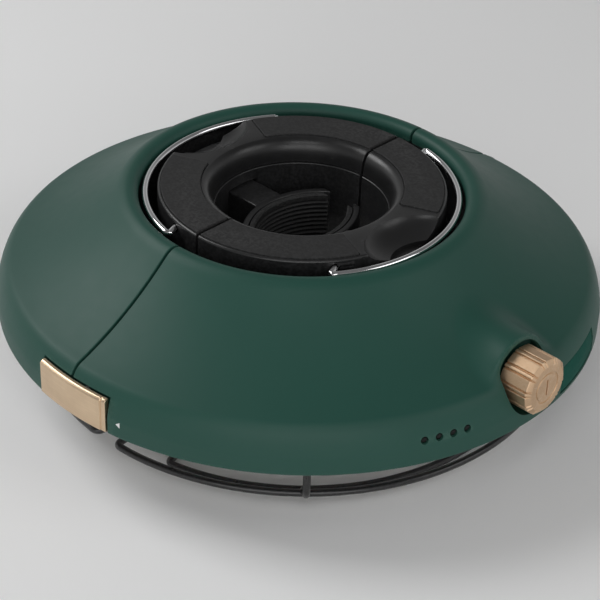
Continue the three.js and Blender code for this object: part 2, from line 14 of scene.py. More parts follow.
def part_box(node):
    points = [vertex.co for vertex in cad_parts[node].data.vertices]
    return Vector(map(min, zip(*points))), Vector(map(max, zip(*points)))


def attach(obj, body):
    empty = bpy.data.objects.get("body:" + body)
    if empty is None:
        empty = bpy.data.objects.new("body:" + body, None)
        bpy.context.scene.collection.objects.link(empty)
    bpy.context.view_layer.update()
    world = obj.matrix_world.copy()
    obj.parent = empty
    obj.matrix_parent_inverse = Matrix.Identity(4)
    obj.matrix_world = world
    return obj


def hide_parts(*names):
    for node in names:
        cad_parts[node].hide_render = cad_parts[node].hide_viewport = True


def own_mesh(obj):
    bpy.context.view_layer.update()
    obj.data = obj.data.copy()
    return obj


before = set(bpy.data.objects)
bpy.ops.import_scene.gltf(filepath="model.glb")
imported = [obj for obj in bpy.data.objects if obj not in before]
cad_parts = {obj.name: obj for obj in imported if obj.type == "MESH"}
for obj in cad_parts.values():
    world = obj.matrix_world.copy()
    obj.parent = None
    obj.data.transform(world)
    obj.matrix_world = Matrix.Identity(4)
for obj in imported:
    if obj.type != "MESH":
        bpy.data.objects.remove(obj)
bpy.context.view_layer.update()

SEAM_HALF = 0.6
RIM_R = 125.0
AXIS_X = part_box("rear_shell")[0].x + RIM_R / 1000  # the bore's axis, in the row frame
ROW = Matrix.Translation((AXIS_X, 0, 0)) @ Matrix.Scale(0.001, 4)
HALF_TURN = Matrix.Rotation(pi, 4, "Z")

# ---- measures shared by several pieces, in millimetres ----
SKIN_FOOT = 31.5
SHOULDER_Z = 39.0
SHOULDER = ((RIM_R, SHOULDER_Z), (122.9, 49.7), (118.4, 51.5))  # start, control point and end
SLOPE = (SHOULDER[-1], (95.4, 60.7), (76, 78.8))
CREST = (70.8, 81.9)
GROOVE_R = 66.5
LIP_BOTTOM = 76.5
CAP_R = 58.8
CAP_TOP = 82.2
PAD_TOP = 82.8
BORE_R = 35.4
KNOB_TILT = radians(0.7)
KNOB_AXIS = Vector((cos(KNOB_TILT), 0, sin(KNOB_TILT)))
KNOB_AT = Vector((117, 0, 48.75))
KNOB_R = 11.85
KNOB_FACE = 12.6
KNOB_LOBES = 10
RECESS_R = 13.2
RECESS_FLOOR = -5.0
BOSS_R = 15.7
BOSS_END = -1.5
BOSS_BLEND = 6.0
BOSS_SOFT = 1.1
HINGE_Y = 120.0
HINGE_NOTCH = 6.6
HINGE_BOTTOM = 32.0
HINGE_TOP = 47.2
HINGE_PIN = 1.4
LATCH_BLOCK = (116.5, 126, -99.2, -78.8, 31.8, 52)  # radii, degrees and heights
LATCH_RECESS = (121.0, 135, -98.2, -80.5, 30, 46.9)
LATCH_TOP = 46.4
LATCH_PIVOT = (8, -121.5)
CATCH_PIN = (-9, -119)
LATCH_SPRING_AT = Vector((16, -118.2, 39.7))
PORT_MIDDLE = 16.5  # degrees
PORT_HALF = 7.5
LEVELS = [radians(a) for a in (-24.04, -21.27, -18.49, -15.7)]
LEVEL_Z = 41.8
SCREWS = [radians(a) for a in (-58, 34, 62)]
SCREW_CIRCLE = 115.5
GUARD_WIRE = 1.5
GUARD_LOW_R = 96
GUARD_HIGH_R = 107.2
GUARD_HIGH_Z = 8.95
GUARD_FOOT_R = 114
BAIL_WIRE = 1.4
BAIL_R = 63.66
BAIL_Z = 78.8
BAIL_MIDDLE = radians(21.6)
BAIL_HALF = radians(57.8)
BEZEL_BOTTOM = 29.3
BEZEL_TOP = 31.2
SCOOP = (60, 0, 84.5)
PAD_INNER = 41.3
PAD_OUTER = 57.5
PAD_EDGE = 23.5  # degrees
JAW_CENTRE = -15.0
JAW_BOTTOM = 41
JAW_TOP = 66.2
JAW_SPRING_Z = 58
JAW_SPRING_END = 55.2


# ---------------------------------------------------------------- materials
class Nodes:
    """A material's node tree, with short calls for the few nodes used here."""

    def __init__(self, name, **shader):
        self.material = bpy.data.materials.new(name)
        self.material.use_nodes = True
        self.tree = self.material.node_tree
        self.shader = self.tree.nodes["Principled BSDF"]
        for key, value in shader.items():
            self.shader.inputs[key.replace("_", " ")].default_value = value
        self.place = self.tree.nodes.new("ShaderNodeTexCoord").outputs["Object"]

    def link(self, source, target):
        self.tree.links.new(source, target)

    def stretched(self, scale):
        node = self.tree.nodes.new("ShaderNodeMapping")
        node.inputs["Scale"].default_value = scale
        self.link(self.place, node.inputs["Vector"])
        return node.outputs["Vector"]

    def noise(self, scale, detail=3.0, rough=0.55, stretch=None):
        node = self.tree.nodes.new("ShaderNodeTexNoise")
        node.inputs["Scale"].default_value = scale
        node.inputs["Detail"].default_value = detail
        node.inputs["Roughness"].default_value = rough
        self.link(self.stretched(stretch) if stretch else self.place, node.inputs["Vector"])
        return node.outputs["Fac"]

    def ranged(self, value, low, high, to_low, to_high):
        node = self.tree.nodes.new("ShaderNodeMapRange")
        for key, number in zip(("From Min", "From Max", "To Min", "To Max"), (low, high, to_low, to_high)):
            node.inputs[key].default_value = number
        self.link(value, node.inputs["Value"])
        return node.outputs["Result"]

    def mixed(self, factor, a, b):
        node = self.tree.nodes.new("ShaderNodeMix")
        node.data_type = "RGBA"
        if isinstance(factor, float):
            node.inputs[0].default_value = factor
        else:
            self.link(factor, node.inputs[0])
        for socket, colour in ((node.inputs[6], a), (node.inputs[7], b)):
            if isinstance(colour, tuple):
                socket.default_value = (*colour, 1)
            else:
                self.link(colour, socket)
        return node.outputs[2]

    def multiplied(self, a, b):
        node = self.tree.nodes.new("ShaderNodeMath")
        node.operation = "MULTIPLY"
        for socket, value in zip(node.inputs, (a, b)):
            if isinstance(value, float):
                socket.default_value = value
            else:
                self.link(value, socket)
        return node.outputs[0]

    def edges(self):
        """1 on worn outer edges, 0 elsewhere, broken up by a fine noise."""
        geometry = self.tree.nodes.new("ShaderNodeNewGeometry")
        sharp = self.ranged(geometry.outputs["Pointiness"], 0.515, 0.56, 0, 1)
        return self.multiplied(sharp, self.ranged(self.noise(900, 2), 0.4, 0.62, 0, 1))

    def bump(self, height, depth, strength=1.0):
        node = self.tree.nodes.new("ShaderNodeBump")
        node.inputs["Strength"].default_value = strength
        node.inputs["Distance"].default_value = depth
        self.link(height, node.inputs["Height"])
        return node.outputs["Normal"]

    def finish(self, colour=None, roughness=None, normal=None):
        for key, value in (("Base Color", colour), ("Roughness", roughness), ("Normal", normal)):
            if value is not None:
                self.link(value, self.shader.inputs[key])
        return self.material


def plastic(name, dark, light, rough, grain, depth, worn, swing=0.05, **shader):
    """Moulded or painted plastic: cloudy colour, fine grain, paler along its edges. The roughness
    varies by swing, and depth is the grain's, in metres."""
    n = Nodes(name, **shader)
    cloudy = n.mixed(n.ranged(n.noise(45, 4), 0.3, 0.7, 0, 1), dark, light)
    speck = n.mixed(n.ranged(n.noise(grain * 0.7, 2), 0.35, 0.65, 0, 1), dark, light)
    body = n.mixed(0.4, cloudy, speck)
    colour = n.mixed(n.multiplied(n.edges(), 0.5), body, worn)
    shine = n.ranged(n.noise(160, 3), 0.3, 0.7, rough - swing, rough + swing)
    fine = n.bump(n.noise(grain, 3, 0.6), depth)
    return n.finish(colour, shine, fine)


def metal(name, dark, light, rough, stretch, depth, worn, **shader):
    """Metal with brush lines along the axis whose stretch is small."""
    n = Nodes(name, Metallic=1.0, **shader)
    lines = n.noise(1.0, 3, 0.6, stretch)
    cloudy = n.mixed(n.ranged(n.noise(90, 3), 0.3, 0.7, 0, 1), dark, light)
    body = n.mixed(n.ranged(lines, 0.3, 0.7, 0, 0.5), cloudy, dark)
    colour = n.mixed(n.multiplied(n.edges(), 0.6), body, worn)
    shine = n.ranged(lines, 0.3, 0.7, rough - 0.06, rough + 0.08)
    return n.finish(colour, shine, n.bump(lines, depth, 0.6))


MATERIALS = {
    "green_shell": plastic(
        "green_paint", (0.0148, 0.0695, 0.0520), (0.0162, 0.0735, 0.0550), 0.5, 2600, 0.000010,
        (0.06, 0.13, 0.10), swing=0.015, Specular_IOR_Level=0.33),
    "black_trim": plastic(
        "black_satin", (0.0105, 0.0105, 0.0108), (0.0140, 0.0140, 0.0144), 0.33, 3200, 0.000008,
        (0.05, 0.05, 0.052), Specular_IOR_Level=0.5),
    "pad": plastic(
        "pad_matt", (0.0125, 0.0125, 0.0128), (0.0170, 0.0170, 0.0173), 0.72, 2200, 0.000030,
        (0.06, 0.06, 0.06), Specular_IOR_Level=0.4),
    "rubber": plastic(
        "jaw_rubber", (0.010, 0.010, 0.0104), (0.014, 0.014, 0.0144), 0.62, 1500, 0.000020,
        (0.05, 0.05, 0.05), Specular_IOR_Level=0.4),
    "green_rubber": plastic(
        "port_rubber", (0.004, 0.060, 0.043), (0.009, 0.088, 0.064), 0.72, 1300, 0.00006,
        (0.03, 0.13, 0.09), Specular_IOR_Level=0.12),
    "guard_wire": plastic(
        "wire_enamel", (0.0080, 0.0080, 0.0085), (0.0120, 0.0120, 0.0125), 0.32, 1800, 0.000015,
        (0.05, 0.05, 0.05), Coat_Weight=0.3),
    "chrome": metal(
        "chrome_wire", (0.84, 0.84, 0.85), (0.92, 0.92, 0.93), 0.10, (60, 60, 900), 0.000003,
        (0.95, 0.95, 0.95)),
    "brass": metal(
        "champagne_brushed", (0.68, 0.51, 0.345), (0.80, 0.62, 0.43), 0.36, (70, 70, 3600), 0.00002,
        (0.80, 0.66, 0.50)),
    "brass_knob": metal(
        "champagne_turned", (0.64, 0.44, 0.28), (0.78, 0.56, 0.37), 0.46, (900, 2400, 2400), 0.00002,
        (0.80, 0.66, 0.50)),
    "steel": metal(
        "steel_brushed", (0.30, 0.30, 0.31), (0.42, 0.42, 0.43), 0.34, (900, 900, 90), 0.00001,
        (0.62, 0.62, 0.63)),
    "diffuser": plastic(
        "opal_plastic", (0.70, 0.69, 0.66), (0.76, 0.75, 0.72), 0.42, 1200, 0.00001,
        (0.85, 0.84, 0.82), Subsurface_Weight=0.15, Subsurface_Scale=0.004),
    "light_board": plastic(
        "board_white", (0.62, 0.62, 0.60), (0.70, 0.70, 0.68), 0.5, 1500, 0.000008,
        (0.8, 0.8, 0.78)),
    "circuit_board": plastic(
        "board_green", (0.012, 0.085, 0.035), (0.020, 0.120, 0.050), 0.45, 1500, 0.00001,
        (0.12, 0.25, 0.14)),
    "cell": plastic(
        "cell_wrap", (0.030, 0.085, 0.240), (0.040, 0.110, 0.290), 0.35, 1500, 0.000006,
        (0.12, 0.20, 0.40), Coat_Weight=0.3),
    "window": plastic(
        "smoked_window", (0.0015, 0.0020, 0.0018), (0.0025, 0.0032, 0.0028), 0.4, 1500, 0.000004,
        (0.01, 0.012, 0.011), Specular_IOR_Level=0.25),
    "white_ink": plastic(
        "white_ink", (0.70, 0.70, 0.69), (0.80, 0.80, 0.79), 0.55, 2500, 0.000006, (0.85, 0.85, 0.85)),
}


# ---------------------------------------------------------------- mesh helpers
def as_object(name, verts, faces):
    mesh = bpy.data.meshes.new(name)
    mesh.from_pydata([tuple(v) for v in verts], [], faces)
    obj = bpy.data.objects.new(name, mesh)
    bpy.context.scene.collection.objects.link(obj)
    bm = bmesh.new()
    bm.from_mesh(mesh)
    bmesh.ops.remove_doubles(bm, verts=bm.verts, dist=1e-4)
    bmesh.ops.recalc_face_normals(bm, faces=bm.faces)
    bm.to_mesh(mesh)
    bm.free()
    return obj


def applied(obj):
    """Bakes the object's modifiers into its mesh."""
    graph = bpy.context.evaluated_depsgraph_get()
    mesh = bpy.data.meshes.new_from_object(obj.evaluated_get(graph))
    obj.modifiers.clear()
    obj.data = mesh
    return obj


def boolean(obj, operation, *others):
    for other in others:
        mod = obj.modifiers.new("boolean", "BOOLEAN")
        mod.operation, mod.object, mod.solver = operation, other, "EXACT"
        applied(obj)
    for other in others:
        bpy.data.objects.remove(other)
    return obj


def cut(obj, *tools):
    return boolean(obj, "DIFFERENCE", *tools)


def joined(obj, *others):
    return boolean(obj, "UNION", *others)


def kept(obj, tool):
    return boolean(obj, "INTERSECT", tool)


def bevelled(obj, width, segments):
    mod = obj.modifiers.new("edge", "BEVEL")
    mod.width, mod.segments, mod.angle_limit = width, segments, radians(40)
    mod.limit_method, mod.use_clamp_overlap = "ANGLE", True
    return applied(obj)


def shaded(obj, angle=34):
    """Smooth faces with hard edges where they meet at more than the angle."""
    mesh = obj.data
    bm = bmesh.new()
    bm.from_mesh(mesh)
    for face in bm.faces:
        face.smooth = True
    for edge in bm.edges:
        edge.smooth = len(edge.link_faces) == 2 and edge.calc_face_angle(0) < radians(angle)
    bm.to_mesh(mesh)
    bm.free()
    mod = obj.modifiers.new("normals", "WEIGHTED_NORMAL")
    mod.keep_sharp = True
    return obj


def turned_back(obj):
    obj.data.transform(HALF_TURN)
    return obj


def placed(obj, name, body, slot, nodes=(), angle=34, material=None):
    """Names a finished piece, moves it to the row frame, and gives it its body and the material for its slot,
    or the material named instead.
    """
    obj.name = name
    obj.data.transform(ROW)
    shaded(obj, angle)
    obj.data.materials.clear()
    obj.data.materials.append(MATERIALS[material or slot])
    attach(obj, body)
    if nodes:
        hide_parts(*nodes)
    return obj


def pair(build, name, nodes, slot, body="half", **options):
    """Places a front piece, and the same piece turned half a turn on the rear half."""
    front = build()
    rear = front.copy()
    rear.data = front.data.copy()
    bpy.context.scene.collection.objects.link(rear)
    turned_back(rear)
    for side, obj in (("front", front), ("rear", rear)):
        replaced = [f"{side}_{node}" for node in nodes]
        placed(obj, f"{side}_{name}", f"{side}_{body}", slot, replaced, **options)
    return front, rear


def polar(radius, angle, z=0.0):
    return Vector((radius * cos(angle), radius * sin(angle), z))


def circle(centre, side, other, radius, sides):
    """A row of points round a centre, in the plane of two unit vectors."""
    turns = (2 * pi * k / sides for k in range(sides))
    return [centre + (side * cos(a) + other * sin(a)) * radius for a in turns]


def curve(start, control, end, steps):
    """Points of a quadratic curve after its start."""
    points = []
    for i in range(1, steps + 1):
        t = i / steps
        points.append(tuple((1 - t) ** 2 * a + 2 * t * (1 - t) * b + t * t * c
                            for a, b, c in zip(start, control, end)))
    return points


def rounded(points, steps=4, closed=True, size=2):
    """A path of points with size coordinates each, and after them perhaps a corner radius,
    with those corners as arcs."""
    out = []
    count = len(points)
    for i, p in enumerate(points):
        here = Vector(p[:size])
        inner = closed or 0 < i < count - 1
        radius = p[size] if len(p) > size and inner else 0
        if not radius:
            out.append(here)
            continue
        before, after = Vector(points[i - 1][:size]), Vector(points[(i + 1) % count][:size])
        u, v = (before - here).normalized(), (after - here).normalized()
        half = u.angle(v) / 2
        centre = here + (u + v).normalized() * (radius / sin(half))
        a, b = here + u * (radius / tan(half)) - centre, here + v * (radius / tan(half)) - centre
        total = a.angle(b)
        for k in range(steps + 1):
            t = k / steps
            out.append(centre + (a * sin((1 - t) * total) + b * sin(t * total)) / sin(total))
    return out


def swept(rows):
    """A solid from rows of points: row i joins row i + 1, and the two end rows are capped."""
    count, width = len(rows), len(rows[0])
    verts = [v for row in rows for v in row]
    faces = []
    for i in range(count - 1):
        for j in range(width):
            a, b = i * width + j, i * width + (j + 1) % width
            faces.append((a, b, b + width, a + width))
    faces.append(tuple(range(width)))
    faces.append(tuple(range((count - 1) * width, count * width)))
    return as_object("swept", verts, faces)


EDGE_STEPS = (0.0, 0.04, 0.12, 0.24, 0.4)


def half_ring(profile, columns=72, gap=SEAM_HALF, edge=0.0, spread=None):
    """Turns a closed (radius, z) profile through the front half, up to two flat faces beside the seam.
    edge rounds the seam's edges; spread gives the columns' places from 0 to 1."""
    spread = spread or [j / columns for j in range(columns + 1)]
    count = len(profile)
    middle = Vector((sum(p[0] for p in profile) / count, sum(p[1] for p in profile) / count))
    area = sum(profile[i - 1][0] * profile[i][1] - profile[i][0] * profile[i - 1][1] for i in range(count))
    turn = 1 if area > 0 else -1
    normals = []
    for i in range(count):
        along = Vector(profile[(i + 1) % count]) - Vector(profile[i - 1])
        normals.append(Vector((along.y, -along.x)).normalized() * turn)
    if edge:
        depths = [s * edge / EDGE_STEPS[-1] for s in EDGE_STEPS]
        sinks = [edge - sqrt(max(edge ** 2 - (edge - d) ** 2, 0)) for d in depths]
    else:
        depths, sinks = [0.0], [0.0]

    def seam_rows(sign):
        rows = []
        for depth, sink in zip(depths, sinks):
            row = []
            for p, n in zip(profile, normals):
                r, z = p[0] - n.x * sink, p[1] - n.y * sink
                row.append(polar(r, sign * acos((gap + depth) / r), z))
            rows.append(row)
        return rows

    reach = gap + depths[-1]
    between = [[polar(r, (2 * s - 1) * acos(reach / r), z) for r, z in profile] for s in spread[1:-1]]
    return swept(seam_rows(-1) + between + seam_rows(1)[::-1])


def sector(inner, outer, start, end, bottom, top, steps=16):
    """A block between two radii and two angles in degrees."""
    section = ((inner, bottom), (outer, bottom), (outer, top), (inner, top))
    angles = [radians(start + (end - start) * j / steps) for j in range(steps + 1)]
    return swept([[polar(r, a, z) for r, z in section] for a in angles])


def block(x0, x1, y0, y1, z0, z1):
    corners = [(x0, y0), (x1, y0), (x1, y1), (x0, y1)]
    return swept([[Vector((x, y, z)) for x, y in corners] for z in (z0, z1)])


def spun(profile, base, axis, sides=48):
    """Turns (radius, distance along the axis) points round an axis, closed at both ends."""
    axis = Vector(axis).normalized()
    side = axis.orthogonal().normalized()
    other = axis.cross(side)
    return swept([circle(Vector(base) + axis * s, side, other, max(r, 0.002), sides) for r, s in profile])


def rod(start, end, radius, sides=24, edge=0.0):
    start, end = Vector(start), Vector(end)
    length = (end - start).length
    if edge:
        soft = edge * 0.3
        profile = [(radius - edge, 0), (radius - soft, soft), (radius, edge)]
        profile += [(r, length - s) for r, s in profile[::-1]]
    else:
        profile = [(radius, 0), (radius, length)]
    return spun(profile, start, end - start, sides)


def tube(path, radius, sides=14):
    """A round wire along a path of points, with round ends."""
    path = [Vector(p) for p in path]
    tangents = []
    for i in range(len(path)):
        tangents.append((path[min(i + 1, len(path) - 1)] - path[max(i - 1, 0)]).normalized())
    side = tangents[0].orthogonal().normalized()
    rows = []
    for i, (p, t) in enumerate(zip(path, tangents)):
        side = (side - t * side.dot(t)).normalized()
        other = t.cross(side)
        rings = [(0.0, 1.0)]
        if i in (0, len(path) - 1):
            out = [(sin(radians(a)), cos(radians(a))) for a in (0, 25, 48, 68, 84)]
            rings = [(-d, w) for d, w in out[::-1]] if i == 0 else out
        rows += [circle(p + t * (d * radius), side, other, radius * w, sides) for d, w in rings]
    return swept(rows)


def coil(start, along, side, radius, wire, turns, length):
    """A coil spring from start along a level axis, with its first turn beginning at side."""
    count = turns * 24
    path = []
    for t in (i / count for i in range(count + 1)):
        a = 2 * pi * turns * t
        path.append(start + along * length * t + (side * cos(a) + Vector((0, 0, 1)) * sin(a)) * radius)
    return tube(path, wire, 10)


def offset(outline, distance):
    """The outline of a flat shape, anticlockwise, moved inward."""
    out = []
    count = len(outline)
    for i in range(count):
        a, b, c = Vector(outline[i - 1]), Vector(outline[i]), Vector(outline[(i + 1) % count])
        u, v = (b - a).normalized(), (c - b).normalized()
        n1, n2 = Vector((-u.y, u.x)), Vector((-v.y, v.x))
        mitre = n1 + n2
        out.append(b + mitre * (distance / max(mitre.length_squared / 2, 0.3)))
    return out


def slab(outline, bottom, top, edge):
    """A plate with the outline (x, y), anticlockwise, and rounded upper edges."""
    levels = [(0, bottom)]
    for a in (0, 30, 60, 90):
        levels.append((edge * (1 - cos(radians(a))), top - edge * (1 - sin(radians(a)))))
    rows = [[Vector((p[0], p[1], z)) for p in offset(outline, d)] for d, z in levels]
    return swept(rows)


def steps_between(start, end, step):
    count = max(int(ceil(abs(end - start) / step)), 1)
    return [start + (end - start) * i / count for i in range(count + 1)]


def curved_plate(u0, u1, v0, v1, thickness, edge, lift, radius, step, angle0):
    """A plate wrapped on an upright cylinder: u is arc length, v is height, lift(u, v) is how far
    its face stands from the radius. Its four face edges are rounded."""
    def axis_points(a, b):
        ends = [0, edge * 0.13, edge * 0.5, edge]
        middle = steps_between(a + edge, b - edge, step)[1:-1]
        return [a + e for e in ends] + middle + [b - e for e in ends[::-1]]

    def sink(d):
        d = min(d, edge)
        return edge - sqrt(max(edge ** 2 - (edge - d) ** 2, 0))

    us, vs = axis_points(u0, u1), axis_points(v0, v1)

    def at(u, v, w):
        return polar(radius + w, angle0 + u / radius, v)

    verts, faces = [], []
    for u in us:
        for v in vs:
            w = lift(u, v) - sink(min(u - u0, u1 - u)) - sink(min(v - v0, v1 - v))
            verts.append(at(u, v, w))
    nv = len(vs)
    for i in range(len(us) - 1):
        for j in range(nv - 1):
            a = i * nv + j
            faces.append((a, a + nv, a + nv + 1, a + 1))
    back = len(verts)
    for u in us:
        for v in vs:
            verts.append(at(u, v, -thickness))
    for i in range(len(us) - 1):
        for j in range(nv - 1):
            a = back + i * nv + j
            faces.append((a, a + 1, a + nv + 1, a + nv))
    border = ([(i, 0) for i in range(len(us))] + [(len(us) - 1, j) for j in range(1, nv)]
              + [(i, nv - 1) for i in range(len(us) - 2, -1, -1)] + [(0, j) for j in range(nv - 2, 0, -1)])
    ring = [i * nv + j for i, j in border]
    for k, a in enumerate(ring):
        b = ring[(k + 1) % len(ring)]
        faces.append((a, b, back + b, back + a))
    return as_object("plate", verts, faces)


# ---------------------------------------------------------------- shells
def skin_points(fine):
    """The shell's outer face, from the foot of the rim to the wall of the groove. fine is 1 or 2."""
    points = [(RIM_R - 0.5, SKIN_FOOT), (RIM_R - 0.15, SKIN_FOOT + 0.15), (RIM_R, SKIN_FOOT + 0.5)]
    points += [(RIM_R, z) for z in steps_between(SKIN_FOOT + 0.5, SHOULDER_Z, 2 / fine)[1:]]
    points += curve(*SHOULDER, 12 * fine)
    points += curve(*SLOPE, 34 * fine)
    points += curve(SLOPE[-1], (73.2, 81.6), CREST, 7)
    points += curve(CREST, (67, 82), (GROOVE_R, 78.5), 9)
    return points


SKIN = skin_points(2)


def skin_radius(z):
    """The radius of the outer face on the rim and the shoulder."""
    if z <= SHOULDER_Z:
        return RIM_R
    start, control, end = SHOULDER
    low, high = 0.0, 1.0
    for _ in range(30):
        t = (low + high) / 2
        height = (1 - t) ** 2 * start[1] + 2 * t * (1 - t) * control[1] + t * t * end[1]
        low, high = (t, high) if height < z else (low, t)
    return (1 - t) ** 2 * start[0] + 2 * t * (1 - t) * control[0] + t * t * end[0]


def boss_distance(p):
    """Distance from the knob's boss, a bar along the knob's axis with a rounded end."""
    rel = p - KNOB_AT
    s = rel.dot(KNOB_AXIS)
    r = (rel - KNOB_AXIS * s).length
    dr, ds = r - (BOSS_R - BOSS_SOFT), s - (BOSS_END - BOSS_SOFT)
    outside = hypot(max(dr, 0), max(ds, 0))
    return outside + min(max(dr, ds), 0) - BOSS_SOFT


def raised(p, normal):
    """Moves a point of the plain skin out to the blend of skin and boss."""
    t = 0.0
    for _ in range(40):
        d = boss_distance(p + normal * t)
        h = max(BOSS_BLEND - abs(t - d), 0) / BOSS_BLEND
        value = min(t, d) - h * h * BOSS_BLEND / 4
        if value > -0.004:
            break
        t -= value
    return p + normal * t


def skin_normal(p, r):
    """The plain skin's normal at the point of it nearest to p, whose radius is r."""
    best = min(range(len(SKIN)), key=lambda i: (SKIN[i][0] - r) ** 2 + (SKIN[i][1] - p.z) ** 2)
    a, b = SKIN[max(best - 1, 0)], SKIN[min(best + 1, len(SKIN) - 1)]
    n = Vector((b[1] - a[1], a[0] - b[0])).normalized()
    return Vector((n.x * p.x / r, n.x * p.y / r, n.y))


def skin_solid(fine, spread=None):
    """Half of the solid inside the outer face, without the knob's boss."""
    profile = skin_points(fine) + [(GROOVE_R, z) for z in (70, 60, 49, SKIN_FOOT)]
    profile += [(r, SKIN_FOOT) for r in (85, 105)]
    return half_ring(profile, 96, edge=0.35, spread=spread)


def front_envelope():
    """The front half, with columns close together near the knob, where its boss is raised."""
    left = steps_between(0, 0.42, 0.012)
    middle = steps_between(0.42, 0.58, 0.0014)
    obj = skin_solid(2, left[:-1] + middle + [1 - s for s in left[::-1]][1:])
    for v in obj.data.vertices:
        r = hypot(v.co.x, v.co.y)
        if r > 78 and abs(v.co.y) < 30 and v.co.z > 40 and v.co.x > 0:
            v.co = raised(v.co.copy(), skin_normal(v.co, r))
    return obj


def knob_rod(start, end, radius, sides=64):
    return rod(KNOB_AT + KNOB_AXIS * start, KNOB_AT + KNOB_AXIS * end, radius, sides)


def hollow():
    """The space inside a shell, past the seam as well."""
    profile = [(60, 20), (122.5, 20), (122.5, 42), (117.4, 49)]
    profile += curve((117.4, 49), (93.9, 58.4), (72.8, 78), 20)
    profile += [(69, 77.6), (69, LIP_BOTTOM), (60, LIP_BOTTOM)]
    return half_ring(profile, 60, gap=-3)


def hinge_gap():
    """Room for the hinge's knuckles: deep under the shoulder, and open above it only at the rim."""
    return (block(-HINGE_NOTCH, HINGE_NOTCH, 113.4, 140, 20, 48),
            block(-HINGE_NOTCH, HINGE_NOTCH, HINGE_Y - 0.6, 140, HINGE_TOP, 60))


def front_shell():
    port_wall = sector(117, 126, PORT_MIDDLE - 9.5, PORT_MIDDLE + 9.5, 31.8, 48)
    inside = cut(hollow(), knob_rod(-34, 9, BOSS_R), sector(*LATCH_BLOCK), port_wall)
    behind_knob = knob_rod(-40, RECESS_FLOOR - 2.5, RECESS_R)
    inside = joined(inside, behind_knob, block(78, 110.8, -20, 20, 20, 38.5))
    shell = cut(front_envelope(), inside)
    knob_recess = spun([(3.7, -20), (3.7, RECESS_FLOOR), (RECESS_R, RECESS_FLOOR), (RECESS_R, -2.4),
                        (RECESS_R + 0.15, -1.9), (RECESS_R + 0.5, -1.5), (RECESS_R + 0.5, 30)],
                       KNOB_AT, KNOB_AXIS, 96)
    port_well = sector(122.4, 135, PORT_MIDDLE - 8, PORT_MIDDLE + 8, 33, 44, 20)
    latch_knuckle_well = block(4.8, 11.2, -130, -118.6, 35.3, 43.7)
    spring_well = rod((16, -117.6, 39.7), (16, -122, 39.7), 2.7)
    socket_hole = sector(110, 124, PORT_MIDDLE - 2.5, PORT_MIDDLE + 2.5, 36.4, 40.6, 4)
    shell = cut(shell, knob_recess, sector(*LATCH_RECESS, 24), port_well, *hinge_gap(),
                latch_knuckle_well, spring_well, socket_hole)
    for angle in LEVELS:
        shell = cut(shell, rod(polar(116, angle, LEVEL_Z), polar(130, angle, LEVEL_Z), 1.55, 28))
    return shell


def rear_shell():
    inside = cut(turned_back(hollow()), sector(*LATCH_BLOCK))
    shell = cut(turned_back(skin_solid(1)), inside)
    catch_pin_well = block(-15, 0, -122, -117.5, 36, 43)
    return cut(shell, sector(*LATCH_RECESS, 24), *hinge_gap(), catch_pin_well)


def groove_wall():
    top = LIP_BOTTOM - 0.3
    return half_ring([(GROOVE_R, 48.8), (69, 48.8), (69, top), (GROOVE_R, top)], 90)


placed(front_shell(), "front_shell_visual", "front_half", "green_shell", ["front_shell"], angle=30)
placed(rear_shell(), "rear_shell_visual", "rear_half", "green_shell", ["rear_shell"], angle=30)
pair(groove_wall, "groove_wall_visual", ["groove_wall"], "black_trim")


# ---------------------------------------------------------------- cap and its pads
def ellipsoid(centre, size, columns=64, rings=40):
    around = [2 * pi * k / columns for k in range(columns)]
    rows = []
    for i in range(rings + 1):
        a = pi * i / rings
        r, z = max(sin(a), 0.001), centre[2] - size[2] * cos(a)
        rows.append([Vector((centre[0] + size[0] * r * cos(b), centre[1] + size[1] * r * sin(b), z))
                     for b in around])
    return swept(rows)


def cap_profile():
    points = [(CAP_R, 64), (CAP_R, CAP_TOP - 1.1)]
    points += curve((CAP_R, CAP_TOP - 1.1), (CAP_R - 0.15, CAP_TOP - 0.1), (CAP_R - 1.1, CAP_TOP), 6)
    points += [(r, CAP_TOP) for r in (56, 53, 50, 47, 44)]
    points += curve((41, CAP_TOP), (36.2, 81.5), (36, 72.3), 18)
    points += [(36.3, 72.0), (38.3, 72.0), (38.6, 72.3)]
    points += curve((38.6, 72.3), (39, 79), (42.5, 79), 8)
    points += [(CAP_R - 2.6, 79), (CAP_R - 2.6, 64)]
    return points


def pad_outline(grow, sign):
    """The outline of one pad on the front half, with its seam end straight; grow widens it."""
    inner, outer = PAD_INNER - grow, PAD_OUTER + grow
    edge = radians(PAD_EDGE) - grow / 50
    gap = SEAM_HALF + 0.3 - grow
    a0, a1 = acos(gap / outer), acos(gap / inner)
    outer_arc = [(outer * cos(a), outer * sin(a)) for a in steps_between(edge, a0, 0.03)]
    inner_arc = [(inner * cos(a), inner * sin(a)) for a in steps_between(a1, edge, 0.03)]
    corners = [(*outer_arc[0], 0.9)] + [p + (0,) for p in outer_arc[1:-1]] + [(*outer_arc[-1], 0.25)]
    corners += [(*inner_arc[0], 0.25)] + [p + (0,) for p in inner_arc[1:-1]] + [(*inner_arc[-1], 1.6)]
    points = [tuple(p) for p in trimmed(corners)]
    if sign < 0:
        points = [(x, -y) for x, y in points][::-1]
    return points


def trimmed(points):
    """rounded(), for corners whose neighbours lie closer than the corner's arc reaches."""
    corners = [p for p in points if p[2]]

    def clear(p):
        return p[2] or all(hypot(p[0] - q[0], p[1] - q[1]) >= q[2] * 1.3 for q in corners)

    return rounded([p for p in points if clear(p)], 5)


